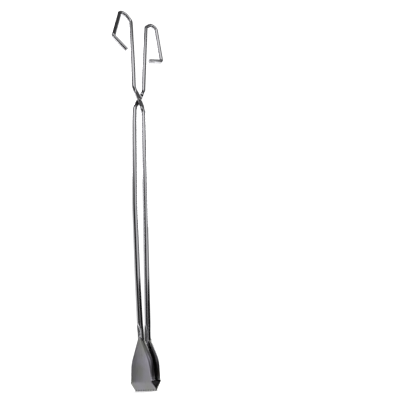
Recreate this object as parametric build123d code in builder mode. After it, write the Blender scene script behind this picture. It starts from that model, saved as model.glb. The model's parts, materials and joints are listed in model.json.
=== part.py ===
"""Long scissor-action wire tongs: two round rods crossed at a rivet, each bent to a
finger hook at the top and welded to a stamped, toothed jaw at the bottom.

Millimetres. +Z runs up the tongs to the finger hooks, +X is the way the jaws open and +Y is
the rivet's axis, pointing to the back. The origin is on the surface that the closed teeth
stand on, midway between the two rows of teeth. The tongs are modelled closed.
"""
from build123d import *

import os
from math import asin, cos, radians, sin

# Driving dimensions: the rod and the scissor joint
ROD_DIAMETER = 5.2
PIVOT_HEIGHT = 300.0        # tooth tips to the rivet
CROSSING_ANGLE = 22.0       # lean of each rod from upright where the two cross
UPPER_KNEE = 17.8           # rivet to the knee above it, along the rod
LOWER_KNEE = 16.2           # rivet to the knee below it, along the rod
KNEE_RADIUS = 15.0
FLAT_THICKNESS = 2.3        # rod pressed flat where the rods cross
FLAT_WIDTH = 5.4
FLAT_HALF_LENGTH = 8.0
FLAT_GAP = 0.15             # play between the two flats
RAMP_LENGTH = 5.0           # from round rod to flat

# Driving dimensions: the rivet
RIVET_DIAMETER = 3.1
RIVET_CLEARANCE = 0.05      # on the radius, in the arm that turns
RIVET_HEAD_DIAMETER = 5.2
RIVET_HEAD_HEIGHT = 1.4
RIVET_TAIL_DIAMETER = 4.8
RIVET_TAIL_HEIGHT = 1.2
RIVET_END_PLAY = 0.1

# Driving dimensions: the finger hook, as (out from the middle, up from the rivet, twist)
STRAND_BEND = (8.2, 55.0, 0.0)
CROWN_INNER = (10.5, 130.4, 2.2)
CROWN_OUTER = (23.7, 147.9, 5.6)
HOOK_CORNER = (34.8, 84.2, 2.8)
HOOK_TIP = (16.1, 72.8, 1.7)
HOOK_CORNER_RADIUS = 3.5
CROWN_OUTER_RADIUS = 6.0
CROWN_INNER_RADIUS = 9.0
STRAND_BEND_RADIUS = 400.0
HANDLE_LEAN = 3.5           # both handles lean this far to the front at the crown
ROD_EDGE = 0.4              # rounding of the sawn rod ends

# Driving dimensions: the lower run, as (out from the middle, up from the teeth)
BOW_HIGH = (7.0, 215.0)
BOW_LOW = (5.8, 125.0)
ROD_END_OUT = 3.5           # middle of the tongs to the middle of the rod's sawn end
BOW_DEPTH = 2.1             # both lower runs bow this far to the back
BOW_RADIUS = 2500.0
LAND_LENGTH = 12.6          # rod end pressed flat against the jaw, up to the blade's point
LAND_RAMP = 8.0
LAND_THICKNESS = 3.0
LAND_WIDTH = 6.0
LAND_INSET = 0.4            # the land lies this far towards the middle of the tongs

# Driving dimensions: the jaw
SHEET = 0.8
BLADE_HEIGHT = 37.0         # lip bend to the point of the blade
SHOULDER_HEIGHT = 14.3
SHOULDER_WIDTH = 27.6
JAW_WIDTH = 29.8
FLANGE_DEPTH = 3.4
FLANGE_FOOT = 1.2           # the side flanges stop this far above the lip bend
RIM_RADIUS = 1.8
SHOULDER_RADIUS = 20.0
POINT_RADIUS = 2.4
PASSAGE_CLEARANCE = 0.9     # each side of the land, where the flange is left out for it
LIP_DROP = 6.1
LIP_BEND_RADIUS = 2.4
TIP_GAP = 0.4               # between the two rows of teeth when the jaws are shut
TOOTH_COUNT = 9
TOOTH_DEPTH = 1.7
TOOTH_GULLET = 2.1          # width of each gullet at the tooth tips
WELD_RADIUS = 0.9           # beads along the rod's land
BEAD_LENGTH = 5.0
LUMP_RADIUS = 1.4           # weld over the sawn end
LUMP_WIDTH = 3.8
WELD_ROUNDING = 0.6         # rounding of the ends of beads and lumps

# Driving dimension of every pressed stretch: its sides bulge this far past its flats
BULGE = 0.5

rod_radius = ROD_DIAMETER / 2
pivot = Vector(0, 0, PIVOT_HEIGHT)
top_height = CROWN_OUTER[1]
rod_end_spec = (ROD_END_OUT, LIP_DROP + BLADE_HEIGHT - LAND_LENGTH)
rod_passage = max(LAND_WIDTH, ROD_DIAMETER) + 2 * PASSAGE_CLEARANCE


def handle_point(spec, side):
    """A corner of the handle; side is +1 when the handle is on the +X side."""
    out, up, twist = spec
    lean = -HANDLE_LEAN * min(up / top_height, 1.0)
    return Vector(side * out, lean - side * twist, PIVOT_HEIGHT + up)


def lower_point(spec, side, bow):
    """A corner of the lower run of the rod whose handle is on that side."""
    out, up = spec
    return Vector(-side * out, bow, up)


def crossing_point(distance, side):
    """A point on the straight stretch through the rivet, up the rod when positive."""
    angle = radians(CROSSING_ANGLE)
    return pivot + Vector(side * sin(angle), 0, cos(angle)) * distance


def round_section(plane):
    """The round rod, as four arcs that match the four edges of a pressed section."""
    corner = rod_radius * cos(radians(45))
    with BuildSketch(plane) as section:
        with BuildLine():
            ThreePointArc((-corner, -corner), (0, -rod_radius), (corner, -corner))
            ThreePointArc((corner, -corner), (rod_radius, 0), (corner, corner))
            ThreePointArc((corner, corner), (0, rod_radius), (-corner, corner))
            ThreePointArc((-corner, corner), (-rod_radius, 0), (-corner, -corner))
        make_face()
    return section.sketch.face()


def pressed_section(plane, width, thickness):
    """The rod pressed between two flat dies, with bulged sides."""
    half_width = width / 2
    flat = half_width - BULGE
    half = thickness / 2
    with BuildSketch(plane) as section:
        with BuildLine():
            Line((-flat, -half), (flat, -half))
            ThreePointArc((flat, -half), (half_width, 0), (flat, half))
            Line((flat, half), (-flat, half))
            ThreePointArc((-flat, half), (-half_width, 0), (-flat, -half))
        make_face()
    return section.sketch.face()


def make_arm(side, layer):
    """One rod. side is +1 when its handle is on +X; layer is -1 when it crosses in front."""
    up_rod = (crossing_point(1, side) - pivot).normalized()
    across = Vector(0, 1, 0).cross(up_rod)
    ramp_end = FLAT_HALF_LENGTH + RAMP_LENGTH
    flat_shift = Vector(0, layer * (FLAT_GAP + FLAT_THICKNESS) / 2, 0)
    end = lower_point(rod_end_spec, side, 0)
    up_end = (lower_point(BOW_LOW, side, BOW_DEPTH) - end).normalized()
    land_out = Vector(0, 1, 0).cross(up_end).normalized() * -side
    land_start = end + up_end * LAND_LENGTH
    inset = land_out * -LAND_INSET

    with BuildPart() as arm:
        # Handle: from the ramp above the rivet up to the hook's sawn tip
        with BuildLine() as handle_path:
            FilletPolyline(
                crossing_point(ramp_end, side),
                crossing_point(UPPER_KNEE, side),
                handle_point(STRAND_BEND, side),
                handle_point(CROWN_INNER, side),
                handle_point(CROWN_OUTER, side),
                handle_point(HOOK_CORNER, side),
                handle_point(HOOK_TIP, side),
                radius=(KNEE_RADIUS, STRAND_BEND_RADIUS, CROWN_INNER_RADIUS,
                        CROWN_OUTER_RADIUS, HOOK_CORNER_RADIUS),
            )
        with BuildSketch(Plane(crossing_point(ramp_end, side), across, up_rod)):
            Circle(rod_radius)
        sweep(path=handle_path.line)
        tip_plane = Plane(handle_path.line @ 1, z_dir=handle_path.line % 1)
        fillet(arm.faces().sort_by_distance(tip_plane.origin)[0].edges(), ROD_EDGE)

        # Lower run: from the ramp below the rivet down to the ramp of the land
        with BuildLine() as lower_path:
            FilletPolyline(
                crossing_point(-ramp_end, side),
                crossing_point(-LOWER_KNEE, side),
                lower_point(BOW_HIGH, side, BOW_DEPTH),
                lower_point(BOW_LOW, side, BOW_DEPTH),
                land_start + up_end * LAND_RAMP,
                radius=(KNEE_RADIUS, BOW_RADIUS, BOW_RADIUS),
            )
        with BuildSketch(Plane(crossing_point(-ramp_end, side), across, -up_rod)):
            Circle(rod_radius)
        sweep(path=lower_path.line)

        # Crossing: round, pressed flat in its own layer, and round again
        loft([
            round_section(Plane(crossing_point(-ramp_end, side), across, up_rod)),
            pressed_section(
                Plane(crossing_point(-FLAT_HALF_LENGTH, side) + flat_shift, across, up_rod),
                FLAT_WIDTH, FLAT_THICKNESS),
            pressed_section(
                Plane(crossing_point(FLAT_HALF_LENGTH, side) + flat_shift, across, up_rod),
                FLAT_WIDTH, FLAT_THICKNESS),
            round_section(Plane(crossing_point(ramp_end, side), across, up_rod)),
        ], ruled=True)

        # Land: the end pressed flat, where the jaw is welded on
        land_y = up_end.cross(land_out)
        loft([
            round_section(Plane(land_start + up_end * LAND_RAMP, land_y, up_end)),
            pressed_section(Plane(land_start + inset, land_y, up_end), LAND_WIDTH, LAND_THICKNESS),
            pressed_section(Plane(end + inset, land_y, up_end), LAND_WIDTH, LAND_THICKNESS),
        ], ruled=True)

        # Rivet hole: tight in the front arm, running in the back one
        bore = RIVET_DIAMETER / 2 + (RIVET_CLEARANCE if layer > 0 else 0)
        with BuildSketch(Plane(pivot, x_dir=(1, 0, 0), z_dir=(0, 1, 0))):
            Circle(bore)
        extrude(amount=ROD_DIAMETER, both=True, mode=Mode.SUBTRACT)
    return arm.part


front_arm_solid = make_arm(side=-1, layer=-1)
back_arm_solid = make_arm(side=1, layer=1)

with BuildPart() as front_arm:
    add(front_arm_solid)
front_arm.part.label = "front_arm"

with BuildPart() as back_arm:
    add(back_arm_solid)
back_arm.part.label = "back_arm"


def dome(radius, face, height):
    """Points of a spherical cap's profile: rim, halfway point and top, along +Y from face."""
    sphere = (radius ** 2 + height ** 2) / (2 * abs(height))
    half_angle = asin(radius / sphere) / 2
    rise = abs(height) - sphere * (1 - cos(half_angle))
    direction = height / abs(height)
    return ((radius, face), (sphere * sin(half_angle), face + direction * rise),
            (0, face + height))


# Rivet: domed head at the front, shank through both flats, formed tail at the back
head_face = -(FLAT_THICKNESS + FLAT_GAP / 2)
tail_face = -head_face + RIVET_END_PLAY
head = dome(RIVET_HEAD_DIAMETER / 2, head_face, -RIVET_HEAD_HEIGHT)
tail = dome(RIVET_TAIL_DIAMETER / 2, tail_face, RIVET_TAIL_HEIGHT)
with BuildPart() as pivot_rivet:
    with BuildSketch(Plane(pivot, x_dir=(1, 0, 0), z_dir=(0, 0, 1))):
        with BuildLine():
            ThreePointArc(*head)
            ThreePointArc(*tail)
            Polyline(head[0], (RIVET_DIAMETER / 2, head_face),
                     (RIVET_DIAMETER / 2, tail_face), tail[0])
            Line(tail[2], head[2])
        make_face()
    revolve(axis=Axis(pivot, (0, 1, 0)))
pivot_rivet.part.label = "pivot_rivet"


# Right jaw. Its blade lies on the outside of the front arm's land, and is parallel to it.
rod_end = lower_point(rod_end_spec, -1, 0)
blade_up = (lower_point(BOW_LOW, -1, 0) - rod_end).normalized()
blade_out = Vector(0, 1, 0).cross(blade_up)
land_face = rod_end + blade_out * (LAND_THICKNESS / 2 - LAND_INSET)
blade_face = land_face + blade_out * SHEET
bend_line = blade_face - blade_up * ((blade_face.Z - LIP_DROP) / blade_up.Z)
blade_plane = Plane(bend_line, x_dir=(0, 1, 0), z_dir=blade_out)
inner_plane = blade_plane.offset(-SHEET)
lip_tip = Vector(TIP_GAP / 2, 0, 0)
lip_up = (bend_line - lip_tip).normalized()
lip_plane = Plane(lip_tip, x_dir=(0, 1, 0), z_dir=Vector(0, 1, 0).cross(lip_up))


def blade_corners(inset, foot):
    """The blade's outline moved in by inset, with its foot that far above the bend."""
    half_width = JAW_WIDTH / 2 - inset
    half_shoulder = SHOULDER_WIDTH / 2 - inset
    slope = SHOULDER_WIDTH / 2 / (BLADE_HEIGHT - SHOULDER_HEIGHT)
    point = BLADE_HEIGHT - inset * (1 + slope ** 2) ** 0.5 / slope
    shoulder = point - half_shoulder / slope
    return [(-half_width, foot), (-half_shoulder, shoulder), (0, point),
            (half_shoulder, shoulder), (half_width, foot)]


def blade_block(plane, inset, foot, rim_radius):
    """The blade as a solid block, FLANGE_DEPTH deep, with its outer rim rounded."""
    with BuildPart() as block:
        with BuildSketch(plane):
            with BuildLine():
                Polyline(*blade_corners(inset, foot), close=True)
            make_face()
            fillet(vertices().group_by(Axis.Y)[-1], POINT_RADIUS - inset)
            fillet(vertices().group_by(Axis.Y)[1], SHOULDER_RADIUS - inset)
        extrude(amount=-FLANGE_DEPTH)
        rim = faces().sort_by(Axis(bend_line, blade_out))[-1].edges()
        fillet(rim.sort_by(Axis.Z)[1:], rim_radius)
    return block.part


with BuildPart() as lip:
    # Bent sheet: a strip of blade above the bend, then the lip down past the teeth
    with BuildSketch(Plane.XZ):
        strip_top = bend_line + blade_up * (FLANGE_FOOT + SHEET)
        past_tip = lip_tip - lip_up * SHEET
        with BuildLine():
            FilletPolyline(
                (strip_top.X, strip_top.Z), (bend_line.X, bend_line.Z), (past_tip.X, past_tip.Z),
                radius=LIP_BEND_RADIUS,
            )
            offset(amount=SHEET, side=Side.RIGHT)
        make_face()
    extrude(amount=JAW_WIDTH / 2, both=True)
    # The edge is cut upright, so that the two rows of teeth meet face to face
    split(bisect_by=Plane(lip_tip, z_dir=(1, 0, 0)), keep=Keep.TOP)
    # Teeth: V gullets across the lip's edge
    with BuildSketch(lip_plane):
        with GridLocations(JAW_WIDTH / TOOTH_COUNT, 1, TOOTH_COUNT - 1, 1):
            Polygon((-TOOTH_GULLET / 2, 0), (TOOTH_GULLET / 2, 0), (0, TOOTH_DEPTH), align=None)
    extrude(amount=2 * SHEET, both=True, mode=Mode.SUBTRACT)

pan = blade_block(blade_plane, 0, FLANGE_FOOT, RIM_RADIUS)
pan_inside = blade_block(inner_plane, SHEET, -SHEET, RIM_RADIUS - SHEET)
with BuildPart() as right_jaw:
    # Pan: the blade with a flange drawn round its sides, open for the rod under the point
    add(pan)
    add(pan_inside, mode=Mode.SUBTRACT)
    with BuildSketch(inner_plane):
        with Locations((0, BLADE_HEIGHT)):
            Rectangle(rod_passage, BLADE_HEIGHT)
    extrude(amount=-FLANGE_DEPTH, mode=Mode.SUBTRACT)
    add(lip)
right_jaw.part.label = "right_jaw"

with BuildPart() as left_jaw:
    mirror(right_jaw.part, about=Plane.YZ)
left_jaw.part.label = "left_jaw"

# Welds: a bead along each side of the land and a lump over the sawn end of the rod
land_edge = LAND_WIDTH / 2 - BULGE / 2
lump_centre = land_face - blade_out * (LUMP_RADIUS / 2)
with BuildPart() as right_weld:
    with BuildSketch(Plane(land_face + blade_up * LUMP_RADIUS, x_dir=(0, 1, 0), z_dir=blade_up)):
        with Locations((-land_edge, 0), (land_edge, 0)):
            Circle(WELD_RADIUS)
    extrude(amount=BEAD_LENGTH)
    with BuildSketch(Plane(lump_centre, x_dir=blade_up, z_dir=(0, 1, 0))):
        Circle(LUMP_RADIUS)
    extrude(amount=LUMP_WIDTH / 2, both=True)
    fillet(edges().filter_by(GeomType.CIRCLE), WELD_ROUNDING)
    split(bisect_by=Plane(land_face, z_dir=blade_out), keep=Keep.BOTTOM)
    add(right_jaw.part, mode=Mode.SUBTRACT)
    add(front_arm.part, mode=Mode.SUBTRACT)
right_weld.part.label = "right_weld"

with BuildPart() as left_weld:
    mirror(right_weld.part, about=Plane.YZ)
left_weld.part.label = "left_weld"

os.makedirs("parts", exist_ok=True)
for piece in (front_arm, back_arm, pivot_rivet, left_jaw, right_jaw, left_weld, right_weld):
    export_step(piece.part, f"parts/{piece.part.label}.step")
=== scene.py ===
"""Long rod tongs with finger hooks and stamped jaws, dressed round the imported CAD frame.

The two bent rods, the two stamped jaws, the rivet and the weld metal are rebuilt as finer
meshes on the frame's own bodies. Lengths are metres, except in fields and constants that end
in _mm, which are millimetres.
"""

import json
import logging
from dataclasses import dataclass
from enum import Enum
from math import atan2, ceil, cos, degrees, pi, radians, sin, tan

import bmesh
import bpy
from mathutils import Matrix, Vector, noise


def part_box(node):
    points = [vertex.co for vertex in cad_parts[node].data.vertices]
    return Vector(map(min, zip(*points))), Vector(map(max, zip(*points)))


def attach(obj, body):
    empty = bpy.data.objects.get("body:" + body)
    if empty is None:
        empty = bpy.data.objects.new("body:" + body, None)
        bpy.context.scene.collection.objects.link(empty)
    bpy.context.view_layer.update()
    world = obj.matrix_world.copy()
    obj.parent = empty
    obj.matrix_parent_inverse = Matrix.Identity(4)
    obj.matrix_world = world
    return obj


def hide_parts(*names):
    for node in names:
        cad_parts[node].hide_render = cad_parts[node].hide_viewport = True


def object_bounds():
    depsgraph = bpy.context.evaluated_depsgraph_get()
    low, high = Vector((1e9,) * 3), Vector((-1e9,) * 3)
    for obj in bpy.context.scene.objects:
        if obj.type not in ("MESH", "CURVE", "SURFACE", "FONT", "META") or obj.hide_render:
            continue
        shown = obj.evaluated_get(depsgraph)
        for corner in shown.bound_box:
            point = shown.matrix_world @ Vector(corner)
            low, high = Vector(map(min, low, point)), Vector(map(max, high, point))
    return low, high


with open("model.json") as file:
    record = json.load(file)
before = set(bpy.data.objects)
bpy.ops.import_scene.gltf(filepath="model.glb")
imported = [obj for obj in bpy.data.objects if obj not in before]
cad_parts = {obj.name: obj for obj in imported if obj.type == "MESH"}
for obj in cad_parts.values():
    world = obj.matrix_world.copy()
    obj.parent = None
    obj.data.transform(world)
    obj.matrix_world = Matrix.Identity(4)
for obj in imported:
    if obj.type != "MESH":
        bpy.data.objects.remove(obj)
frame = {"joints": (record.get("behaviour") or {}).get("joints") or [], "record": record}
CAD_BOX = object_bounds()
MM = 0.001
ACROSS = Vector((0, 1, 0))
MERGE_DISTANCE = 1e-7      # metres; vertices closer than this are one
SAME_PLACE = 1e-6          # metres; how closely two heights must agree
log = logging.getLogger("tongs")


class Hand(Enum):
    """The side of the tongs, as the sign of X."""

    LEFT = -1
    RIGHT = 1


class Layer(Enum):
    """Which half of the rod's thickness an arm keeps at the rivet, as the sign of Y."""

    FRONT = -1
    BACK = 1


class Slot(Enum):
    """The record's material slots."""

    ROD = "plated_rod"
    SHEET = "plated_sheet"
    RIVET = "rivet_steel"
    WELD = "weld_steel"


def linear(hex_colour: str) -> tuple[float, float, float, float]:
    """Turns an sRGB colour into the linear values that a shader takes.

    Args:
        hex_colour: The colour as "#rrggbb".

    Returns:
        Red, green, blue and an alpha of 1.
    """
    channels = [int(hex_colour[i:i + 2], 16) / 255 for i in (1, 3, 5)]
    red, green, blue = (
        c / 12.92 if c <= 0.04045 else ((c + 0.055) / 1.055) ** 2.4 for c in channels
    )
    return red, green, blue, 1.0


def add_node(
    tree: bpy.types.NodeTree,
    kind: str,
    settings: dict[str | int, object] | None = None,
    links: dict[str | int, bpy.types.NodeSocket] | None = None,
) -> bpy.types.Node:
    """Adds one node with its settings and its incoming links.

    Args:
        tree: The node tree to add it to.
        kind: The node's type, such as "ShaderNodeTexNoise".
        settings: Input values by name or number, and properties by name.
        links: Output sockets to join to this node's inputs, by name or number.

    Returns:
        The new node.
    """
    node = tree.nodes.new(kind)
    for name, value in (settings or {}).items():
        if isinstance(name, int) or name in node.inputs:
            node.inputs[name].default_value = value
        else:
            setattr(node, name, value)
    for name, socket in (links or {}).items():
        tree.links.new(socket, node.inputs[name])
    return node


def new_material(name: str) -> tuple[bpy.types.Material, bpy.types.NodeTree]:
    """Starts a material with only an output node.

    Args:
        name: The material's name.

    Returns:
        The material and its empty node tree.
    """
    material = bpy.data.materials.new(name)
    material.use_nodes = True
    material.node_tree.nodes.clear()
    return material, material.node_tree


@dataclass
class MetalTree:
    """The node tree of one metal finish, in the order in which it is wired."""

    name: str

    def __post_init__(self) -> None:
        """Starts the material."""
        self.material, self.tree = new_material(self.name)

    def place(self) -> bpy.types.NodeSocket:
        """The place on the piece, in metres."""
        return add_node(self.tree, "ShaderNodeTexCoord").outputs["Object"]

    def stretched(self, vector: bpy.types.NodeSocket, scale: tuple) -> bpy.types.NodeSocket:
        """Scales a place by a factor for each axis."""
        node = add_node(self.tree, "ShaderNodeMapping", {"Scale": scale}, {"Vector": vector})
        return node.outputs["Vector"]

    def speckle(
        self, vector: bpy.types.NodeSocket, scale: float, detail: float, roughness: float = 0.5,
    ) -> bpy.types.NodeSocket:
        """Adds noise.

        Args:
            vector: The place to read it at.
            scale: How many specks fit in one unit.
            detail: The number of finer layers.
            roughness: How strong the finer layers are.

        Returns:
            The noise, about 0.5.
        """
        node = add_node(
            self.tree, "ShaderNodeTexNoise",
            {"Scale": scale, "Detail": detail, "Roughness": roughness}, {"Vector": vector},
        )
        return node.outputs["Fac"]

    def ranged(
        self, value: bpy.types.NodeSocket, low: float, high: float, spread: float = 0.2,
    ) -> bpy.types.NodeSocket:
        """Maps noise to run from low to high over a spread each side of its middle."""
        node = add_node(
            self.tree, "ShaderNodeMapRange",
            {"From Min": 0.5 - spread, "From Max": 0.5 + spread, "To Min": low, "To Max": high},
            {"Value": value},
        )
        return node.outputs["Result"]

    def blend(
        self, share: bpy.types.NodeSocket, first: str | bpy.types.NodeSocket, second: str,
    ) -> bpy.types.NodeSocket:
        """Mixes two colours.

        Args:
            share: How much of the second colour there is.
            first: The first colour, or a socket that gives it.
            second: The second colour.

        Returns:
            The mixed colour.
        """
        node = add_node(
            self.tree, "ShaderNodeMix", {"data_type": "RGBA", 7: linear(second)}, {"Factor": share},
        )
        if isinstance(first, str):
            node.inputs[6].default_value = linear(first)
        else:
            self.tree.links.new(first, node.inputs[6])
        return node.outputs[2]

    def bump(
        self, height: bpy.types.NodeSocket, strength: float, depth_mm: float,
    ) -> bpy.types.NodeSocket:
        """Turns noise into small relief."""
        node = add_node(
            self.tree, "ShaderNodeBump", {"Strength": strength, "Distance": depth_mm * MM},
            {"Height": height},
        )
        return node.outputs["Normal"]

    def finish(
        self, colour: bpy.types.NodeSocket, rough: bpy.types.NodeSocket,
        normal: bpy.types.NodeSocket | None = None,
    ) -> bpy.types.Material:
        """Wires the metal shader and returns the material.

        Args:
            colour: The metal's colour.
            rough: Its roughness.
            normal: Its relief, if it has any.

        Returns:
            The finished material.
        """
        links = {"Base Color": colour, "Roughness": rough}
        if normal is not None:
            links["Normal"] = normal
        shader = add_node(self.tree, "ShaderNodeBsdfPrincipled", {"Metallic": 1.0}, links)
        add_node(
            self.tree, "ShaderNodeOutputMaterial", None, {"Surface": shader.outputs["BSDF"]},
        )
        return self.material


@dataclass(frozen=True)
class DrawnRodNickel:
    """Drawn steel rod with bright nickel plate: mirror-like, with faint lines along its length."""

    clean: str = "#cfcfd2"
    dulled: str = "#bdbcc0"
    roughness: float = 0.08
    roughness_swing: float = 0.04
    die_line_mm: float = 0.9       # real ones are under 0.1 mm apart; coarse enough to show
    haze_mm: float = 14.0          # handling haze along the rod
    rod_radius_mm: float = 2.6

    def material(self) -> bpy.types.Material:
        """Builds the node material on the rod's own skin coordinates."""
        metal = MetalTree("bright_nickel_drawn_rod")
        skin = add_node(metal.tree, "ShaderNodeAttribute", {"attribute_name": "skin"})
        # The skin attribute is the unit circle round the rod and the distance along it in mm
        round_rod = self.rod_radius_mm / self.die_line_mm
        lines = metal.stretched(skin.outputs["Vector"], (round_rod, round_rod, 1 / self.haze_mm))
        streak = metal.speckle(lines, 1.0, 3.0, 0.6)
        haze = metal.speckle(metal.place(), 1 / (self.haze_mm * MM), 4.0, 0.55)
        rough = metal.ranged(streak, self.roughness, self.roughness + self.roughness_swing)
        return metal.finish(metal.blend(haze, self.clean, self.dulled), rough)


@dataclass(frozen=True)
class StampedSheetNickel:
    """Stamped steel sheet under nickel plate: satin, with rolling marks, a two-tone cast and a
    painted shade inside the stamping.
    """

    cool: str = "#a6a3ae"
    warm: str = "#9b9d94"
    painted_inside_shade: str = "#343437"    # painted shade: the inside of the stamping and the gullets are drawn near-black for the shade that falls there
    roughness: float = 0.26
    roughness_swing: float = 0.12
    rolling_mark_mm: float = 0.5   # real ones are finer; drawn coarse enough to show
    mark_length_mm: float = 18.0
    cast_mm: float = 16.0          # size of the warm and cool patches
    grit_mm: float = 0.9           # tumbling pits, drawn coarse enough to show
    relief: float = 0.4
    relief_mm: float = 0.04

    def material(self) -> bpy.types.Material:
        """Builds the node material on object coordinates."""
        metal = MetalTree("satin_nickel_stamped_sheet")
        place = metal.place()
        along = 1 / (self.mark_length_mm * MM)
        marks = metal.stretched(place, (along, 1 / (self.rolling_mark_mm * MM), along))
        streak = metal.speckle(marks, 1.0, 4.0, 0.6)
        pits = metal.speckle(place, 1 / (self.grit_mm * MM), 2.0, 0.7)
        cast = metal.speckle(place, 1 / (self.cast_mm * MM), 2.0)
        colour = metal.blend(metal.ranged(cast, 0.0, 1.0, spread=0.15), self.cool, self.warm)
        # The inside layer paints shade: the jaw's inner faces and its gullets take the near-black
        # colour
        inside = add_node(metal.tree, "ShaderNodeAttribute", {"attribute_name": "inside"})
        tone = metal.blend(inside.outputs["Fac"], colour, self.painted_inside_shade)
        rough = metal.ranged(streak, self.roughness, self.roughness + self.roughness_swing)
        grain = add_node(metal.tree, "ShaderNodeMath", {"operation": "ADD"}, {0: streak, 1: pits})
        relief = metal.bump(grain.outputs["Value"], self.relief, self.relief_mm)
        return metal.finish(tone, rough, relief)


@dataclass(frozen=True)
class MottledMetal:
    """Bare metal with mottled tone and roughness, for the headed rivet and the weld metal."""

    name: str
    light: str
    dark: str
    roughness: float
    roughness_swing: float
    mottle_mm: float
    bump_mm: float
    relief: float = 0.4

    def material(self) -> bpy.types.Material:
        """Builds the node material on object coordinates."""
        metal = MetalTree(self.name)
        mottle = metal.speckle(metal.place(), 1 / (self.mottle_mm * MM), 4.0, 0.6)
        rough = metal.ranged(mottle, self.roughness, self.roughness + self.roughness_swing)
        relief = metal.bump(mottle, self.relief, self.bump_mm)
        return metal.finish(metal.blend(mottle, self.light, self.dark), rough, relief)


def new_object(
    bm: bmesh.types.BMesh, name: str, material: bpy.types.Material,
) -> bpy.types.Object:
    """Turns a bmesh into an object in the scene.

    Args:
        bm: The finished bmesh, which is freed.
        name: The object's name.
        material: Its material.

    Returns:
        The object.
    """
    mesh = bpy.data.meshes.new(name)
    bm.to_mesh(mesh)
    bm.free()
    mesh.materials.append(material)
    made = bpy.data.objects.new(name, mesh)
    bpy.context.scene.collection.objects.link(made)
    return made


def finish_piece(
    bm: bmesh.types.BMesh,
    name: str,
    material: bpy.types.Material,
    body: str,
    replaced: str,
    crease: float = 40.0,
) -> bpy.types.Object:
    """Turns a bmesh into a piece on its body, in place of its CAD node.

    Args:
        bm: The finished bmesh, which is freed.
        name: The piece's name.
        material: The piece's material.
        body: The CAD body that the piece rides on.
        replaced: The CAD node that the piece stands for.
        crease: Folds sharper than this many degrees are shaded as edges.

    Returns:
        The piece's object.
    """
    piece = new_object(bm, name, material)
    piece.data.shade_smooth()
    piece.data.set_sharp_from_angle(angle=radians(crease))
    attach(piece, body)
    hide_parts(replaced)
    low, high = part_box(replaced)
    log.info(
        "%s: %d faces, on %s, for a node %.1f x %.1f x %.1f mm",
        name, len(piece.data.polygons), body, *((high - low) / MM),
    )
    return piece


def pick(geometry: list[object], kind: type) -> list[object]:
    """Picks the elements of one kind from what an operator returns."""
    return [item for item in geometry if isinstance(item, kind)]


def extrude_edges(
    bm: bmesh.types.BMesh, edges: list[bmesh.types.BMEdge],
) -> tuple[list[bmesh.types.BMVert], list[bmesh.types.BMEdge]]:
    """Extrudes some edges in place and returns the new vertices and the edges between them."""
    grown = bmesh.ops.extrude_edge_only(bm, edges=edges)["geom"]
    verts = pick(grown, bmesh.types.BMVert)
    fresh = set(verts)
    far_edges = [
        edge for edge in pick(grown, bmesh.types.BMEdge) if all(v in fresh for v in edge.verts)
    ]
    return verts, far_edges


def region(faces: list[bmesh.types.BMFace]) -> list[object]:
    """The faces with their edges and vertices, as the cutting operator takes them."""
    edges = {edge for face in faces for edge in face.edges}
    verts = {vert for face in faces for vert in face.verts}
    return [*faces, *edges, *verts]


def ease(share: float) -> float:
    """Smooths a share from 0 to 1, so that it starts and ends gently."""
    return share * share * (3 - 2 * share)


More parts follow.
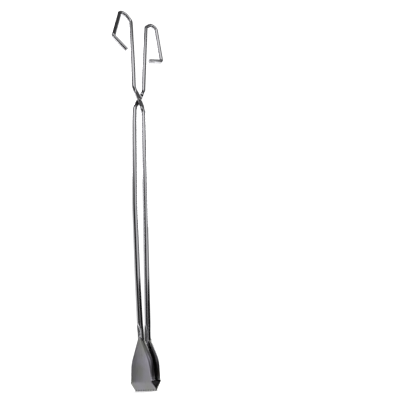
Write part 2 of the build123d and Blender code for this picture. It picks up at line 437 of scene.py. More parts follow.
@dataclass
class RodBender:
    """Feeds and bends one rod from a ring of edges, as a bench wire bender does.

    Attributes:
        bm: The bmesh that the rod grows in.
        skin: The vertex layer that holds the unit circle round the rod and the distance along.
        ring: The edges at the rod's growing end.
        centre: The middle of that end.
        heading: The direction in which it grows.
        travelled: Its distance from the rod's starting ring.
    """

    bm: bmesh.types.BMesh
    skin: bmesh.types.BMLayerItem
    ring: list[bmesh.types.BMEdge]
    centre: Vector
    heading: Vector
    travelled: float = 0.0
    degrees_per_step: float = 4.0

    def ring_verts(self) -> list[bmesh.types.BMVert]:
        """The vertices at the growing end."""
        return list({vert for edge in self.ring for vert in edge.verts})

    def _take(self, geometry: list[object], distance: float) -> None:
        """Makes the ring that an operator returned the growing end."""
        fresh = set(pick(geometry, bmesh.types.BMVert))
        self.ring = [
            edge for edge in pick(geometry, bmesh.types.BMEdge)
            if all(v in fresh for v in edge.verts)
        ]
        self.travelled += distance
        for vert in fresh:
            vert[self.skin].z = self.travelled / MM

    def feed(self, distance: float) -> None:
        """Pushes the rod straight ahead by a distance."""
        grown = bmesh.ops.extrude_edge_only(self.bm, edges=self.ring)["geom"]
        self._take(grown, distance)
        bmesh.ops.translate(self.bm, verts=self.ring_verts(), vec=self.heading * distance)
        self.centre = self.centre + self.heading * distance

    def bend(self, onward: Vector, radius: float) -> None:
        """Bends the rod round a former until it heads onward.

        Args:
            onward: The new heading, a unit vector.
            radius: The radius of the rod's middle line in the bend.
        """
        turn = self.heading.angle(onward)
        axis = self.heading.cross(onward).normalized()
        former = self.centre + axis.cross(self.heading) * radius
        steps = max(1, ceil(degrees(turn) / self.degrees_per_step))
        for _ in range(steps):
            grown = bmesh.ops.spin(
                self.bm, geom=self.ring, cent=former, axis=axis, dvec=(0, 0, 0),
                angle=turn / steps, steps=1, use_merge=False, use_duplicate=False,
            )["geom_last"]
            self._take(grown, radius * turn / steps)
        self.centre = former + Matrix.Rotation(turn, 3, axis) @ (self.centre - former)
        self.heading = onward

    def follow(self, corners: list[Vector], radii: list[float]) -> None:
        """Runs straight between corners and round each one but the last.

        Args:
            corners: The corners ahead, the last of which is the rod's end.
            radii: The bend radius at each corner but the last.
        """
        for corner, after, radius in zip(corners, corners[1:], radii):
            ahead = (corner - self.centre).normalized()
            onward = (after - corner).normalized()
            cut_back = radius * tan(ahead.angle(onward) / 2)
            self.heading = ahead
            self.feed((corner - self.centre).length - cut_back)
            self.bend(onward, radius)
        self.feed((corners[-1] - self.centre).length)

    def press(self, centre: Vector, wide: Vector, thin: Vector, half: "PressedSection") -> None:
        """Reshapes the growing end as a section pressed between flat dies.

        Args:
            centre: The section's middle.
            wide: The unit vector across the flats.
            thin: The unit vector through them.
            half: The section's half width and half thickness.
        """
        for vert in self.ring_verts():
            round_x, round_y = vert[self.skin].x, vert[self.skin].y
            through = max(-half.thickness, min(half.thickness, round_y * half.radius))
            vert.co = centre + wide * round_x * half.width + thin * through

    def cap(self, rounding: float) -> None:
        """Closes the rod's sawn end and rounds its edge."""
        bmesh.ops.contextual_create(self.bm, geom=self.ring)
        bmesh.ops.bevel(
            self.bm, geom=self.ring, offset=rounding, segments=3, profile=0.5,
            affect="EDGES", material=-1, clamp_overlap=True,
        )


@dataclass(frozen=True)
class PressedSection:
    """Half sizes of a rod pressed flat by some part of the way; 0 leaves it round."""

    radius: float
    width: float
    thickness: float

    @classmethod
    def part_way(
        cls, radius: float, width: float, thickness: float, share: float,
    ) -> "PressedSection":
        """Blends the round rod into the pressed one.

        Args:
            radius: The round rod's radius.
            width: The pressed rod's full width.
            thickness: The pressed rod's full thickness.
            share: 0 for round, 1 for fully pressed.

        Returns:
            The section that far along.
        """
        eased = ease(share)
        return cls(
            radius,
            radius + (width / 2 - radius) * eased,
            radius + (thickness / 2 - radius) * eased,
        )


@dataclass
class BentArm:
    """One rod: a hook at the top, a pressed flat at the rivet and a pressed land in the jaw."""

    handle: Hand
    layer: Layer
    node: str
    body: str
    rod_mm: float = 5.2
    sides: int = 40
    crossing_degrees: float = 22.0
    knees_mm: tuple[float, float] = (17.8, 16.2)
    knee_radius_mm: float = 15.0
    flat_mm: tuple[float, float] = (5.4, 2.3)
    flat_half_mm: float = 8.0
    flat_gap_mm: float = 0.15
    ramp_mm: float = 5.0
    ramp_rows: int = 6
    # Corners of the handle: out from the middle, up from the rivet, twist out of plane
    handle_corners_mm: tuple[tuple[float, float, float], ...] = (
        (8.2, 55.0, 0.0), (10.5, 130.4, 2.2), (23.7, 147.9, 5.6), (34.8, 84.2, 2.8),
        (16.1, 72.8, 1.7),
    )
    handle_radii_mm: tuple[float, ...] = (400.0, 9.0, 6.0, 3.5)
    lean_mm: float = 3.5
    # Corners of the lower run: out from the middle, up from the teeth
    lower_corners_mm: tuple[tuple[float, float], ...] = ((7.0, 215.0), (5.8, 125.0))
    bow_mm: float = 2.1
    bow_radius_mm: float = 2500.0
    end_out_mm: float = 3.5
    land_mm: tuple[float, float] = (6.0, 3.0)
    land_length_mm: float = 12.6
    land_ramp_mm: float = 8.0
    land_inset_mm: float = 0.4
    end_rounding_mm: float = 0.4
    rod_end_up_mm: float = 30.5

    def pivot(self) -> Vector:
        """The rivet's middle, from the frame's hinge."""
        return Vector(frame["joints"][0]["pos_m"])

    def up_rod(self) -> Vector:
        """The way up the rod where it crosses the other."""
        lean = radians(self.crossing_degrees)
        return Vector((self.handle.value * sin(lean), 0, cos(lean)))

    def handle_route(self) -> list[Vector]:
        """The handle's corners, knee first, in metres."""
        sign = self.handle.value
        crown_mm = max(up for _, up, _ in self.handle_corners_mm)
        route = [self.pivot() + self.up_rod() * self.knees_mm[0] * MM]
        for out, up, twist in self.handle_corners_mm:
            lean = -self.lean_mm * min(up / crown_mm, 1.0)
            route.append(self.pivot() + Vector((sign * out, lean - sign * twist, up)) * MM)
        return route

    def lower_route(self) -> list[Vector]:
        """The lower run's corners, knee first, in metres."""
        route = [self.pivot() - self.up_rod() * self.knees_mm[1] * MM]
        for out, up in self.lower_corners_mm:
            route.append(Vector((-self.handle.value * out, self.bow_mm, up)) * MM)
        return route

    def rod_end(self) -> Vector:
        """The middle of the rod's sawn end, in the jaw."""
        return Vector((-self.handle.value * self.end_out_mm, 0, self.rod_end_up_mm)) * MM

    def up_end(self) -> Vector:
        """The way up the rod from its sawn end."""
        return (self.lower_route()[-1] - self.rod_end()).normalized()

    def start(self, bm: bmesh.types.BMesh) -> RodBender:
        """Makes the pressed ring at the rivet.

        Args:
            bm: The bmesh to grow the rod in.

        Returns:
            A bender at the rivet, heading up the rod.
        """
        skin = bm.verts.layers.float_vector.new("skin")
        circle = bmesh.ops.create_circle(bm, segments=self.sides, radius=1.0, cap_ends=False)
        for vert in circle["verts"]:
            vert[skin] = (vert.co.x, vert.co.y, 0.0)
        bender = RodBender(bm, skin, list(bm.edges), self.pivot(), self.up_rod())
        self.press_flat(bender, 1.0)
        return bender

    def press_flat(self, bender: RodBender, share: float) -> None:
        """Presses the growing end at the crossing, into this arm's own layer.

        Args:
            bender: The rod being made.
            share: 0 for round, 1 for fully pressed.
        """
        width, thickness = (size * MM for size in self.flat_mm)
        half = PressedSection.part_way(self.rod_mm / 2 * MM, width, thickness, share)
        eased = ease(share)
        layer_shift = self.layer.value * (self.flat_gap_mm + self.flat_mm[1]) / 2 * MM * eased
        wide = ACROSS.cross(self.up_rod())
        bender.press(bender.centre + ACROSS * layer_shift, wide, ACROSS, half)

    def leave_crossing(self, bender: RodBender) -> None:
        """Feeds out of the pressed flat and up its ramp to the round rod."""
        bender.feed(self.flat_half_mm * MM)
        self.press_flat(bender, 1.0)
        for row in range(1, self.ramp_rows + 1):
            bender.feed(self.ramp_mm / self.ramp_rows * MM)
            self.press_flat(bender, 1 - row / self.ramp_rows)

    def press_land(self, bender: RodBender) -> None:
        """Presses the end of the lower run flat against the jaw and closes it."""
        up_end = self.up_end()
        thin = ACROSS.cross(up_end).normalized() * -self.handle.value
        wide = up_end.cross(thin)
        width, thickness = (size * MM for size in self.land_mm)
        inset = thin * -self.land_inset_mm * MM
        bender.heading = -up_end
        for row in range(1, self.ramp_rows + 1):
            bender.feed(self.land_ramp_mm / self.ramp_rows * MM)
            share = row / self.ramp_rows
            self.press_end(bender, wide, thin, inset * share, share, (width, thickness))
        bender.feed(self.land_length_mm * MM)
        self.press_end(bender, wide, thin, inset, 1.0, (width, thickness))
        bender.cap(self.end_rounding_mm * MM)

    def press_end(
        self, bender: RodBender, wide: Vector, thin: Vector, inset: Vector, share: float,
        size: tuple[float, float],
    ) -> None:
        """Presses the growing end in the jaw's plane.

        Args:
            bender: The rod being made.
            wide: The unit vector across the land.
            thin: The unit vector through it.
            inset: How far the section is moved towards the middle of the tongs.
            share: 0 for round, 1 for fully pressed.
            size: The land's full width and thickness.
        """
        half = PressedSection.part_way(self.rod_mm / 2 * MM, size[0], size[1], share)
        for vert in bender.ring_verts():
            # The ring's circle is measured from the crossing, where across was its second axis
            round_x, round_y = vert[bender.skin].x, vert[bender.skin].y
            through = -self.handle.value * round_x * half.radius
            through = max(-half.thickness, min(half.thickness, through))
            vert.co = (
                bender.centre + inset + ACROSS * round_y * half.width + thin * through
            )

    def build(self, material: bpy.types.Material) -> bpy.types.Object:
        """Makes the arm and puts it on its body.

        Args:
            material: The rod's finish.

        Returns:
            The arm's object.
        """
        bm = bmesh.new()
        upper = self.start(bm)
        first_ring = list(upper.ring)
        self.leave_crossing(upper)
        radii = [self.knee_radius_mm * MM] + [r * MM for r in self.handle_radii_mm]
        upper.follow(self.handle_route(), radii)
        upper.cap(self.end_rounding_mm * MM)
        lower = RodBender(bm, upper.skin, first_ring, self.pivot(), -self.up_rod())
        self.leave_crossing(lower)
        land_and_ramp = (self.land_length_mm + self.land_ramp_mm) * MM
        ramp_top = self.rod_end() + self.up_end() * land_and_ramp
        radii = [self.knee_radius_mm * MM, self.bow_radius_mm * MM, self.bow_radius_mm * MM]
        lower.follow(self.lower_route() + [ramp_top], radii)
        self.press_land(lower)
        bmesh.ops.recalc_face_normals(bm, faces=bm.faces)
        return finish_piece(
            bm, f"{self.node}_rod", material, self.body, self.node,
        )


@dataclass
class StampedJaw:
    """A spear-shaped blade with flanged sides and a toothed lip, pressed from one sheet."""

    hand: Hand
    node: str
    body: str
    sheet_mm: float = 0.8
    height_mm: float = 37.0
    shoulder_up_mm: float = 14.3
    shoulder_width_mm: float = 27.6
    shoulder_radius_mm: float = 20.0
    point_radius_mm: float = 2.4
    flange_mm: float = 3.4
    foot_mm: float = 1.2
    relief_mm: float = 0.25
    tab_inset_mm: float = 0.7
    rim_mm: float = 1.8
    rim_segments: int = 7
    holding_mm: float = 0.5
    passage_mm: float = 7.8
    lip_drop_mm: float = 6.1
    lip_bend_mm: float = 2.4
    lip_bend_steps: int = 7
    teeth: int = 9
    tooth_depth_mm: float = 1.7
    gullet_mm: float = 2.1
    edge_round_mm: float = 0.12
    cut_edge_degrees: float = 50.0     # folds sharper than this are cut edges

    def __post_init__(self) -> None:
        """Takes the blade's plane and the jaw's width and gap from the frame."""
        face = next(m for m in frame["record"]["mounts"] if m["name"] == "jaw_face")
        self.out = Vector(face["axis"]).normalized()
        self.up = Vector((-self.out.z, 0, self.out.x))
        on_face = Vector(face["pos_m"])
        self.bend_point = on_face - self.up * ((on_face.z - self.lip_drop_mm * MM) / self.up.z)
        low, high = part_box("right_jaw")
        self.width = high.y - low.y
        self.tip = Vector((low.x, 0, low.z))

    def at(self, across_mm: float, up_mm: float) -> Vector:
        """A point on the blade's outer face, from the middle of the lip's bend."""
        return self.bend_point + ACROSS * across_mm * MM + self.up * up_mm * MM

    def outline(self, bm: bmesh.types.BMesh) -> bmesh.types.BMFace:
        """Makes the blade's flat face, with rounded shoulders and point.

        Args:
            bm: The bmesh to make it in.

        Returns:
            The face.
        """
        half_foot = self.width / 2 / MM
        half_shoulder = self.shoulder_width_mm / 2
        corners = (
            (-half_foot, self.foot_mm), (half_foot, self.foot_mm),
            (half_shoulder, self.shoulder_up_mm), (0, self.height_mm),
            (-half_shoulder, self.shoulder_up_mm),
        )
        verts = [bm.verts.new(self.at(*corner)) for corner in corners]
        bm.faces.new(verts)
        for vert, radius, segments in (
            (verts[2], self.shoulder_radius_mm, 8),
            (verts[4], self.shoulder_radius_mm, 8),
            (verts[3], self.point_radius_mm, 6),
        ):
            ways = [edge.other_vert(vert).co - vert.co for edge in vert.link_edges]
            turn = pi - ways[0].angle(ways[1])
            bmesh.ops.bevel(
                bm, geom=[vert], offset=radius * MM * tan(turn / 2), segments=segments,
                profile=0.5, affect="VERTICES", material=-1,
            )
        return bm.faces[:][0]

    def draw_flanges(self, bm: bmesh.types.BMesh, blade: bmesh.types.BMFace) -> None:
        """Turns the blade's sides in as flanges with a rounded rim.

        Args:
            bm: The jaw's bmesh.
            blade: The blade's flat face.
        """
        foot_height = self.at(0, self.foot_mm).dot(self.up)
        rim = [
            edge for edge in blade.edges
            if any(v.co.dot(self.up) > foot_height + self.holding_mm * MM for v in edge.verts)
        ]
        grown = bmesh.ops.extrude_edge_only(bm, edges=rim)["geom"]
        walls = pick(grown, bmesh.types.BMVert)
        bmesh.ops.translate(bm, verts=walls, vec=self.out * -self.flange_mm * MM)
        bmesh.ops.bevel(
            bm, geom=rim, offset=self.rim_mm * MM, segments=self.rim_segments, profile=0.5,
            affect="EDGES", material=-1, clamp_overlap=True,
        )

    def depth(self, point: Vector) -> float:
        """How far a point lies inside the blade's outer face, in metres."""
        return (self.bend_point - point).dot(self.out)

    def open_passage(self, bm: bmesh.types.BMesh) -> None:
        """Leaves the flange out under the point, where the rod comes in."""
        for sign in (-1, 1):
            flange = [f for f in bm.faces if self.depth(f.calc_center_median()) > 0.01 * MM]
            bmesh.ops.bisect_plane(
                bm, geom=region(flange), dist=MERGE_DISTANCE,
                plane_co=ACROSS * sign * self.passage_mm / 2 * MM, plane_no=ACROSS,
            )
        unwanted = [
            face for face in bm.faces
            if self.depth(face.calc_center_median()) > self.sheet_mm * MM
            and abs(face.calc_center_median().y) < self.passage_mm / 2 * MM
        ]
        bmesh.ops.delete(bm, geom=unwanted, context="FACES")

    def foot_edges(self, bm: bmesh.types.BMesh) -> list[bmesh.types.BMEdge]:
        """The blade's lowest edges, which the lip grows from."""
        foot = self.at(0, self.foot_mm).dot(self.up)
        return [
            edge for edge in bm.edges
            if all(abs(v.co.dot(self.up) - foot) < SAME_PLACE for v in edge.verts)
            and all(self.depth(v.co) < SAME_PLACE for v in edge.verts)
        ]

    def grow(
        self, bm: bmesh.types.BMesh, edges: list[bmesh.types.BMEdge], move: Vector,
    ) -> list[bmesh.types.BMEdge]:
        """Extends a strip of sheet from some edges.

        Args:
            bm: The jaw's bmesh.
            edges: The edges at the strip's end.
            move: How far and which way it grows.

        Returns:
            The edges at its new end.
        """
        verts, far_edges = extrude_edges(bm, edges)
        bmesh.ops.translate(bm, verts=verts, vec=move)
        return far_edges

    def bend_lip(self, bm: bmesh.types.BMesh) -> None:
        """Adds the tab below the blade, bends it in and runs it past the teeth."""
        lip_down = (self.tip - self.bend_point).normalized()
        turn = (-self.up).angle(lip_down)
        cut_back = self.lip_bend_mm * MM * tan(turn / 2)
        tab = self.grow(bm, self.foot_edges(bm), self.up * -self.relief_mm * MM)
        tab_verts = {vert for edge in tab for vert in edge.verts}
        wide = (self.width / 2 - self.tab_inset_mm * MM) / max(v.co.y for v in tab_verts)
        bmesh.ops.scale(bm, verts=list(tab_verts), vec=(1, wide, 1))
        drop = (self.foot_mm - self.relief_mm) * MM - cut_back
        tab = self.grow(bm, tab, self.up * -drop)
        former = self.bend_point + self.up * cut_back - self.out * self.lip_bend_mm * MM
        spun = bmesh.ops.spin(
            bm, geom=tab, cent=former, axis=ACROSS, dvec=(0, 0, 0), angle=turn,
            steps=self.lip_bend_steps, use_merge=False, use_duplicate=False,
        )["geom_last"]
        end_edges = pick(spun, bmesh.types.BMEdge)
        length = (self.tip - self.bend_point).length - cut_back
        end_edges = self.grow(bm, end_edges, lip_down * self.holding_mm * MM)
        past_tip = length - self.holding_mm * MM + self.sheet_mm * MM
        end_edges = self.grow(bm, end_edges, lip_down * past_tip)
        self.cut_teeth(bm, end_edges, lip_down)

    def cut_teeth(
        self, bm: bmesh.types.BMesh, end_edges: list[bmesh.types.BMEdge], lip_down: Vector,
    ) -> None:
        """Cuts V gullets into the lip's end.

        Args:
            bm: The jaw's bmesh.
            end_edges: The edges at the lip's end, one sheet thickness past the tips.
            lip_down: The unit vector down the lip.
        """
        pitch = self.width / self.teeth
        depth = (self.tooth_depth_mm + self.sheet_mm) * MM
        half_gullet = self.gullet_mm / 2 * MM * depth / (self.tooth_depth_mm * MM)
        end_height = min(v.co.dot(-lip_down) for e in end_edges for v in e.verts)
        for i in range(1, self.teeth):
            centre = -self.width / 2 + pitch * i
            for offset in (-half_gullet, 0.0, half_gullet):
                strip = {
                    face for edge in bm.edges if edge.is_boundary
                    and all(abs(v.co.dot(-lip_down) - end_height) < SAME_PLACE for v in edge.verts)
                    for face in edge.link_faces
                }
                bmesh.ops.bisect_plane(
                    bm, geom=region(strip), dist=MERGE_DISTANCE,
                    plane_co=ACROSS * (centre + offset), plane_no=ACROSS,
                )
            apex = [
                vert for vert in bm.verts
                if abs(vert.co.y - centre) < SAME_PLACE
                and abs(vert.co.dot(-lip_down) - end_height) < SAME_PLACE
            ]
            bmesh.ops.translate(bm, verts=apex, vec=lip_down * -depth)

    def thicken(self, bm: bmesh.types.BMesh) -> None:
        """Gives the sheet its thickness and cuts the toothed edge upright."""
        bmesh.ops.remove_doubles(bm, verts=bm.verts, dist=MERGE_DISTANCE)
        bmesh.ops.recalc_face_normals(bm, faces=bm.faces)
        blade = max(bm.faces, key=lambda face: face.calc_area())
        if blade.normal.dot(self.out) < 0:
            bmesh.ops.reverse_faces(bm, faces=bm.faces)
        surface = bpy.data.meshes.new("sheet_surface")
        bm.to_mesh(surface)
        holder = bpy.data.objects.new("sheet_surface", surface)
        bpy.context.scene.collection.objects.link(holder)
        gauge = holder.modifiers.new("gauge", "SOLIDIFY")
        gauge.thickness = self.sheet_mm * MM
        gauge.offset = -1.0
        gauge.use_even_offset = True
        one_side = len(bm.faces)
        bm.clear()
        bm.from_object(holder, bpy.context.evaluated_depsgraph_get())
        # This layer marks where the sheet's material paints shade: the inner faces, then the
        # gullets
        inside = bm.faces.layers.float.new("inside")
        bm.faces.ensure_lookup_table()
        # The modifier lists the outer faces, then the inner ones, then the cut edge
        for face in bm.faces[one_side:2 * one_side]:
            face[inside] = 1.0
        for face in bm.faces[2 * one_side:]:
            # Painted shade goes on the gullets between the teeth too
            if face.calc_center_median().z < self.tip.z + self.tooth_depth_mm * MM:
                face[inside] = 1.0
        bpy.data.objects.remove(holder)
        bpy.data.meshes.remove(surface)
        bmesh.ops.bisect_plane(
            bm, geom=region(bm.faces), dist=MERGE_DISTANCE,
            plane_co=self.tip, plane_no=Vector((-1, 0, 0)), clear_outer=True,
        )
        open_edges = [edge for edge in bm.edges if edge.is_boundary]
        bmesh.ops.holes_fill(bm, edges=open_edges, sides=0)
        bmesh.ops.recalc_face_normals(bm, faces=bm.faces)

    def round_edges(self, bm: bmesh.types.BMesh) -> None:
        """Takes the sharpness off the cut edges, as tumbling does."""
        sharp = [
            edge for edge in bm.edges
            if edge.is_manifold and edge.calc_face_angle() > radians(self.cut_edge_degrees)
        ]
        bmesh.ops.bevel(
            bm, geom=sharp, offset=self.edge_round_mm * MM, segments=2, profile=0.5,
            affect="EDGES", material=-1, clamp_overlap=True,
        )
        bmesh.ops.dissolve_degenerate(bm, edges=bm.edges, dist=SAME_PLACE)

    def build(self, material: bpy.types.Material) -> bpy.types.Object:
        """Makes the jaw and puts it on its body.

        Args:
            material: The sheet's finish.

        Returns:
            The jaw's object.
        """
        bm = bmesh.new()
        blade = self.outline(bm)
        self.draw_flanges(bm, blade)
        blade = max(bm.faces, key=lambda face: face.calc_area())
        bmesh.ops.inset_region(
            bm, faces=[blade], thickness=self.holding_mm * MM, use_even_offset=True,
            use_boundary=False,
        )
        self.open_passage(bm)
        self.bend_lip(bm)
        self.thicken(bm)
        self.round_edges(bm)
        if self.hand is Hand.LEFT:
            bmesh.ops.scale(bm, verts=bm.verts, vec=(-1, 1, 1))
            bmesh.ops.reverse_faces(bm, faces=bm.faces)
        return finish_piece(
            bm, f"{self.node}_sheet", material, self.body, self.node, crease=32.0,
        )


@dataclass
class PivotRivet:
    """The headed rivet that both arms turn on, spun from its profile."""

    node: str = "pivot_rivet"
    body: str = "front"
    head_mm: tuple[float, float] = (5.2, 1.4)
    tail_mm: tuple[float, float] = (4.8, 1.2)
    shank_mm: float = 3.1
    dome_steps: int = 7
    turns_in_steps: int = 48

    def dome(self, radius: float, face: float, height: float) -> list[Vector]:
        """Points of a domed end, rim first.

        Args:
            radius: The dome's radius at its rim.
            face: Where its flat underside lies on the rivet's axis.
            height: How far its top stands beyond that, with its sign.

        Returns:
            Points as distance from the axis, place along it and zero.
        """
        sphere = (radius ** 2 + height ** 2) / (2 * abs(height))
        half_angle = atan2(radius, sphere - abs(height))
        points = []
        for i in range(self.dome_steps):
            angle = half_angle * (1 - i / self.dome_steps)
            rise = sphere * cos(angle) - (sphere - abs(height))
            points.append(Vector((sphere * sin(angle), face + rise * height / abs(height), 0)))
        return points + [Vector((0, face + height, 0))]

    def build(self, material: bpy.types.Material) -> bpy.types.Object:
        """Spins the rivet and puts it on its body.

        Args:
            material: The rivet's finish.

        Returns:
            The rivet's object.
        """
        low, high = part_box(self.node)
        pivot = Vector(frame["joints"][0]["pos_m"])
        head_face = low.y + self.head_mm[1] * MM
        tail_face = high.y - self.tail_mm[1] * MM
        shank = self.shank_mm / 2 * MM
        head = self.dome(self.head_mm[0] / 2 * MM, head_face, -self.head_mm[1] * MM)
        tail = self.dome(self.tail_mm[0] / 2 * MM, tail_face, self.tail_mm[1] * MM)
        profile = head[::-1] + [Vector((shank, head_face, 0)), Vector((shank, tail_face, 0))] + tail
        bm = bmesh.new()
        verts = [bm.verts.new(pivot + point) for point in profile]
        edges = [bm.edges.new(pair) for pair in zip(verts, verts[1:])]
        bmesh.ops.spin(
            bm, geom=verts + edges, cent=pivot, axis=ACROSS, dvec=(0, 0, 0), angle=2 * pi,
            steps=self.turns_in_steps, use_merge=True, use_duplicate=False,
        )
        bmesh.ops.remove_doubles(bm, verts=bm.verts, dist=MERGE_DISTANCE)
        bmesh.ops.recalc_face_normals(bm, faces=bm.faces)
        return finish_piece(bm, "rivet_head_and_tail", material, self.body, self.node)


@dataclass
class JawWeld:
    """Weld metal that holds a jaw on its rod: a rippled bead each side and a lump at the end."""

    hand: Hand
    node: str
    body: str
    bead_mm: float = 1.7
    lump_mm: float = 2.4
    ripple_mm: float = 0.9
    ripple_depth: float = 0.12
    lumpiness: float = 0.12
    lumps_per_metre: float = 900.0
    narrowest: float = 0.02        # share of the width left at a bead's very end
    lump_length: float = 0.7       # share of the distance between the beads
    top_clearance_mm: float = 0.3
    rows: int = 28
    sides: int = 20

    def bead(self, bm: bmesh.types.BMesh, start: Vector, end: Vector, width: float) -> None:
        """Lays one rippled bead with rounded ends.

        Args:
            bm: The weld's bmesh.
            start: One end of the bead's middle line.
            end: Its other end.
            width: The bead's full width.
        """
        run = end - start
        turn = run.to_track_quat("Z", "Y").to_matrix().to_4x4()
        ring = bmesh.ops.create_circle(
            bm, segments=self.sides, radius=1.0, cap_ends=False,
            matrix=Matrix.Translation(start) @ turn,
        )["verts"]
        edges = list({edge for vert in ring for edge in vert.link_edges})
        first = edges
        laid = []
        for row in range(self.rows + 1):
            share = row / self.rows
            if row:
                ring, edges = extrude_edges(bm, edges)
            laid.append((ring, share))
        for ring, share in laid:
            end_taper = max(self.narrowest, 1 - (2 * share - 1) ** 6) ** 0.5
            ripples = share * run.length / (self.ripple_mm * MM)
            ripple = 1 - self.ripple_depth * abs(sin(pi * ripples))
            middle = start + run * share
            for vert in ring:
                spoke = (vert.co - start).normalized()
                grain = (middle + spoke * width) * self.lumps_per_metre
                lumpy = 1 + self.lumpiness * noise.noise(grain)
                vert.co = middle + spoke * width / 2 * end_taper * ripple * lumpy
        for rim in (first, edges):
            bmesh.ops.contextual_create(bm, geom=rim)

    def build(self, material: bpy.types.Material) -> bpy.types.Object:
        """Lays the welds and puts them on their body.

        Args:
            material: The weld's finish.

        Returns:
            The weld's object.
        """
        low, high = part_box(self.node)
        sign = self.hand.value
        sheet_side = high.x if self.hand is Hand.RIGHT else low.x
        bead_x = sheet_side - sign * self.bead_mm / 2 * MM
        bead_y = high.y - self.bead_mm / 2 * MM
        lump_z = low.z + self.lump_mm / 2 * MM
        bead_low = lump_z + self.lump_mm / 2 * MM
        bead_high = high.z - self.top_clearance_mm * MM
        lump_y = bead_y * self.lump_length
        bm = bmesh.new()
        for side in (-1, 1):
            self.bead(
                bm, Vector((bead_x, side * bead_y, bead_low)),
                Vector((bead_x, side * bead_y, bead_high)), self.bead_mm * MM,
            )
        self.bead(
            bm, Vector((bead_x, -lump_y, lump_z)), Vector((bead_x, lump_y, lump_z)),
            self.lump_mm * MM,
        )
        bmesh.ops.recalc_face_normals(bm, faces=bm.faces)
        return finish_piece(
            bm, f"{self.node}_beads", material, self.body, self.node, crease=60.0,
        )


def stage_mirrored(bm: bmesh.types.BMesh, name: str, shader: bpy.types.Material) -> None:
    """Stages a surface that only mirror-like metal sees, not the camera or the floor.

    Args:
        bm: The surface's bmesh, which is freed.
        name: Its name.
        shader: Its glowing material.
    """
    surface = new_object(bm, name, shader)
    surface.visible_camera = False
    surface.visible_diffuse = False
    surface.visible_transmission = False
    surface.visible_shadow = False


def wire_glow(tree: bpy.types.NodeTree, glow: float | bpy.types.NodeSocket) -> None:
    """Makes a material glow a neutral grey, by a value or by a socket."""
    lamp = add_node(tree, "ShaderNodeEmission", {"Color": (1.0, 1.0, 1.0, 1.0)})
    if isinstance(glow, float):
        lamp.inputs["Strength"].default_value = glow
    else:
        tree.links.new(glow, lamp.inputs["Strength"])
    add_node(tree, "ShaderNodeOutputMaterial", None, {"Surface": lamp.outputs["Emission"]})


@dataclass(frozen=True)
class MirroredCard:
    """A panel near the object that the bright metal mirrors as a dark stripe."""

    name: str
    place: tuple[float, float, float]
    aim: tuple[float, float, float]
    size: tuple[float, float]
    glow: float

    def build(self) -> None:
        """Stands the card where it belongs."""
        place = Vector(self.place)
        facing = (Vector(self.aim) - place).to_track_quat("Z", "Y").to_matrix().to_4x4()
        spread = Matrix.Diagonal((self.size[0], self.size[1], 1, 1))
        bm = bmesh.new()
        bmesh.ops.create_grid(
            bm, x_segments=1, y_segments=1, size=0.5,
            matrix=Matrix.Translation(place) @ facing @ spread,
        )
        material, tree = new_material(f"{self.name}_cloth")
        wire_glow(tree, self.glow)
        stage_mirrored(bm, self.name, material)


@dataclass(frozen=True)
class WallStretch:
    """A stretch of the mirrored room's wall with its own brightness; angles in degrees."""

    azimuth: float          # 0 is towards -Y and 90 towards +X
    half_width: float
    low: float
    high: float
    glow: float


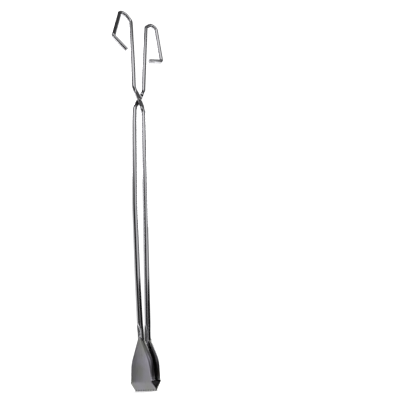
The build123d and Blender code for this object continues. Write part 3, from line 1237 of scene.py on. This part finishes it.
@dataclass
class MirroredRoom:
    """The grey room round the studio that only the bright metal sees."""

    aim_up: float
    radius: float = 2.5
    glow: float = 0.12
    fade: float = 12.0      # degrees over which one stretch of wall turns into the next
    zenith: float = 90.0    # a stretch that reaches this has no upper limit
    sine_margin: float = 1e-4
    stretches: tuple[WallStretch, ...] = (
        WallStretch(145.0, 30.0, -30.0, 60.0, 1.2),
        WallStretch(-140.0, 34.0, -30.0, 32.0, 0.85),
        WallStretch(8.0, 32.0, -30.0, 32.0, 0.75),
        WallStretch(-32.0, 36.0, 31.0, 54.0, 1.15),
        WallStretch(-66.0, 34.0, -30.0, 27.0, 0.03),
        WallStretch(0.0, 90.0, 56.0, 90.0, 0.06),
    )

    def share(
        self, tree: bpy.types.NodeTree, value: bpy.types.NodeSocket, none_at: float, full_at: float,
    ) -> bpy.types.NodeSocket:
        """Turns a value into how far it lies inside a soft limit, from 0 to 1."""
        node = add_node(
            tree, "ShaderNodeMapRange",
            {"interpolation_type": "SMOOTHSTEP", "From Min": none_at, "From Max": full_at},
            {"Value": value},
        )
        return node.outputs["Result"]

    def inside(
        self, tree: bpy.types.NodeTree, wall: WallStretch, level: bpy.types.NodeSocket,
        height: bpy.types.NodeSocket,
    ) -> bpy.types.NodeSocket:
        """Finds how far a direction lies inside one stretch of wall.

        Args:
            tree: The wall's node tree.
            wall: The stretch.
            level: The direction's level part, as a unit vector.
            height: The sine of its elevation.

        Returns:
            A socket that is 1 inside the stretch and 0 outside.
        """
        turn, half_fade = radians(wall.azimuth), self.fade / 2
        facing = add_node(
            tree, "ShaderNodeVectorMath",
            {"operation": "DOT_PRODUCT", 1: (sin(turn), -cos(turn), 0)}, {0: level},
        )
        limits = [
            (facing.outputs["Value"], cos(radians(wall.half_width + half_fade)),
             cos(radians(wall.half_width - half_fade))),
            (height, sin(radians(wall.low - half_fade)), sin(radians(wall.low + half_fade))),
        ]
        if wall.high < self.zenith:
            limits.append(
                (height, sin(radians(wall.high + half_fade)) + self.sine_margin,
                 sin(radians(wall.high - half_fade)))
            )
        shares = [self.share(tree, *limit) for limit in limits]
        product = shares[0]
        for other in shares[1:]:
            product = add_node(
                tree, "ShaderNodeMath", {"operation": "MULTIPLY"}, {0: product, 1: other},
            ).outputs["Value"]
        return product

    def build(self) -> None:
        """Puts up the room's wall, which glows by its direction from the object."""
        bm = bmesh.new()
        bmesh.ops.create_uvsphere(
            bm, u_segments=48, v_segments=24, radius=self.radius,
            matrix=Matrix.Translation((0, 0, self.aim_up)),
        )
        bmesh.ops.reverse_faces(bm, faces=bm.faces)
        material, tree = new_material("grey_room_wall")
        place = add_node(tree, "ShaderNodeTexCoord")
        offset = add_node(
            tree, "ShaderNodeVectorMath", {"operation": "SUBTRACT", 1: (0, 0, self.aim_up)},
            {0: place.outputs["Object"]},
        )
        heading = add_node(
            tree, "ShaderNodeVectorMath", {"operation": "NORMALIZE"}, {0: offset.outputs["Vector"]},
        )
        parts = add_node(tree, "ShaderNodeSeparateXYZ", None, {0: heading.outputs["Vector"]})
        flat = add_node(
            tree, "ShaderNodeVectorMath", {"operation": "MULTIPLY", 1: (1, 1, 0)},
            {0: heading.outputs["Vector"]},
        )
        level = add_node(
            tree, "ShaderNodeVectorMath", {"operation": "NORMALIZE"}, {0: flat.outputs["Vector"]},
        )
        glow = add_node(tree, "ShaderNodeValue").outputs[0]
        glow.default_value = self.glow
        for wall in self.stretches:
            inside = self.inside(tree, wall, level.outputs["Vector"], parts.outputs["Z"])
            glow = add_node(
                tree, "ShaderNodeMix", {"B": wall.glow}, {"Factor": inside, "A": glow},
            ).outputs["Result"]
        wire_glow(tree, glow)
        stage_mirrored(bm, "grey_room", material)


@dataclass
class Studio:
    """A pale floor, soft light, the mirrored room and the camera low in front."""

    floor_m: float = 40.0
    floor_colour: str = "#fcfcfc"
    sky_colour: str = "#ffffff"
    sky_strength: float = 1.15
    camera_azimuth: float = -34.734
    camera_elevation: float = -29.855
    camera_distance: float = 0.3501
    camera_pan: float = 10.192
    camera_tilt: float = -4.044
    camera_roll: float = -0.635
    lens_mm: float = 29.52
    aim_up: float = 0.195
    # Each lamp's name, place, width and power in watts
    softboxes: tuple[tuple[str, tuple[float, float, float], float, float], ...] = (
        ("back_softbox", (0.0, 1.1, 1.45), 1.1, 14.0),
        ("right_softbox", (1.28, 0.46, 1.05), 0.7, 8.0),
    )
    cards: tuple[MirroredCard, ...] = (
        MirroredCard("low_card", (0.12, -0.18, 0.07), (0, 0, 0.07), (0.5, 0.15), 0.01),
        MirroredCard("floor_card", (0.0, -0.76, 0.002), (0.0, -0.76, 1), (1.9, 1.46), 0.03),
        MirroredCard("rear_floor_card", (0.0, 0.23, 0.0004), (0.0, 0.23, 1), (0.6, 0.5), 0.66),
        MirroredCard("side_card", (-0.013, 0.063, 0.02), (-0.036, 0.096, 0.02), (0.06, 0.06), 0.12),
    )

    def lay_floor(self) -> None:
        """Lays the seamless pale floor under the object."""
        bm = bmesh.new()
        level = Matrix.Translation((0, 0, CAD_BOX[0][2]))
        bmesh.ops.create_grid(bm, x_segments=4, y_segments=4, size=self.floor_m, matrix=level)
        material, tree = new_material("matt_white_paper")
        shader = add_node(
            tree, "ShaderNodeBsdfDiffuse", {"Color": linear(self.floor_colour)},
        )
        add_node(tree, "ShaderNodeOutputMaterial", None, {"Surface": shader.outputs["BSDF"]})
        new_object(bm, "floor", material)

    def light(self) -> None:
        """Sets a white surround and two large soft lamps."""
        scene = bpy.context.scene
        scene.view_settings.view_transform = "Standard"
        world = bpy.data.worlds.new("white_surround")
        world.use_nodes = True
        world.node_tree.nodes.clear()
        sky = add_node(
            world.node_tree, "ShaderNodeBackground",
            {"Color": linear(self.sky_colour), "Strength": self.sky_strength},
        )
        add_node(
            world.node_tree, "ShaderNodeOutputWorld", None, {"Surface": sky.outputs["Background"]},
        )
        world.cycles_visibility.glossy = False      # metal sees the mirrored room instead
        scene.world = world
        for name, place, size, power in self.softboxes:
            lamp = bpy.data.lights.new(name, "AREA")
            lamp.size = size
            lamp.energy = power
            holder = bpy.data.objects.new(name, lamp)
            bpy.context.scene.collection.objects.link(holder)
            aim = Vector((0, 0, self.aim_up)) - Vector(place)
            holder.matrix_world = (
                Matrix.Translation(place) @ aim.to_track_quat("-Z", "Y").to_matrix().to_4x4()
            )

    def place_camera(self) -> None:
        """Stands the camera low in front and a little to the left, looking up."""
        turn, rise = radians(-self.camera_azimuth), radians(self.camera_elevation)
        back = Vector((-sin(turn) * cos(rise), -cos(turn) * cos(rise), sin(rise)))
        right = Vector((cos(turn), -sin(turn), 0))
        up = back.cross(right)
        place = Vector((0, 0, self.aim_up)) + back * self.camera_distance
        pan, tilt, roll = (
            radians(angle) for angle in (self.camera_pan, self.camera_tilt, self.camera_roll)
        )
        ahead, right = (
            -back * cos(pan) + right * sin(pan), right * cos(pan) + back * sin(pan)
        )
        ahead, up = ahead * cos(tilt) + up * sin(tilt), up * cos(tilt) - ahead * sin(tilt)
        right, up = right * cos(roll) + up * sin(roll), up * cos(roll) - right * sin(roll)
        lens = bpy.data.cameras.new("camera")
        lens.sensor_fit = "HORIZONTAL"
        lens.sensor_width = 36.0
        lens.lens = self.lens_mm
        lens.clip_start = 0.01
        camera = bpy.data.objects.new("camera", lens)
        bpy.context.scene.collection.objects.link(camera)
        matrix = Matrix((right, up, -ahead)).transposed().to_4x4()
        matrix.translation = place
        camera.matrix_world = matrix
        bpy.context.scene.camera = camera

    def build(self) -> None:
        """Puts up the whole studio."""
        self.place_camera()
        self.light()
        self.lay_floor()
        MirroredRoom(self.aim_up).build()
        for card in self.cards:
            card.build()


def main() -> None:
    """Builds the studio and every piece, in order."""
    logging.basicConfig(level=logging.INFO, format="%(name)s: %(message)s")
    Studio().build()
    rod = DrawnRodNickel().material()
    sheet = StampedSheetNickel().material()
    headed = MottledMetal(
        "cold_headed_nickel_steel", "#b4b3b4", "#8b8a8c", 0.22, 0.16, 1.2, 0.01,
    ).material()
    weld = MottledMetal(
        "plated_weld_metal", "#8f8d8c", "#5d5b5c", 0.34, 0.2, 0.7, 0.03,
    ).material()
    for arm in (
        BentArm(Hand.LEFT, Layer.FRONT, "front_arm", "front"),
        BentArm(Hand.RIGHT, Layer.BACK, "back_arm", "back"),
    ):
        arm.build(rod)
    for hand, body in ((Hand.LEFT, "back"), (Hand.RIGHT, "front")):
        side = hand.name.lower()
        StampedJaw(hand, f"{side}_jaw", body).build(sheet)
        JawWeld(hand, f"{side}_weld", body).build(weld)
    PivotRivet().build(headed)


if __name__ == "__main__":
    main()
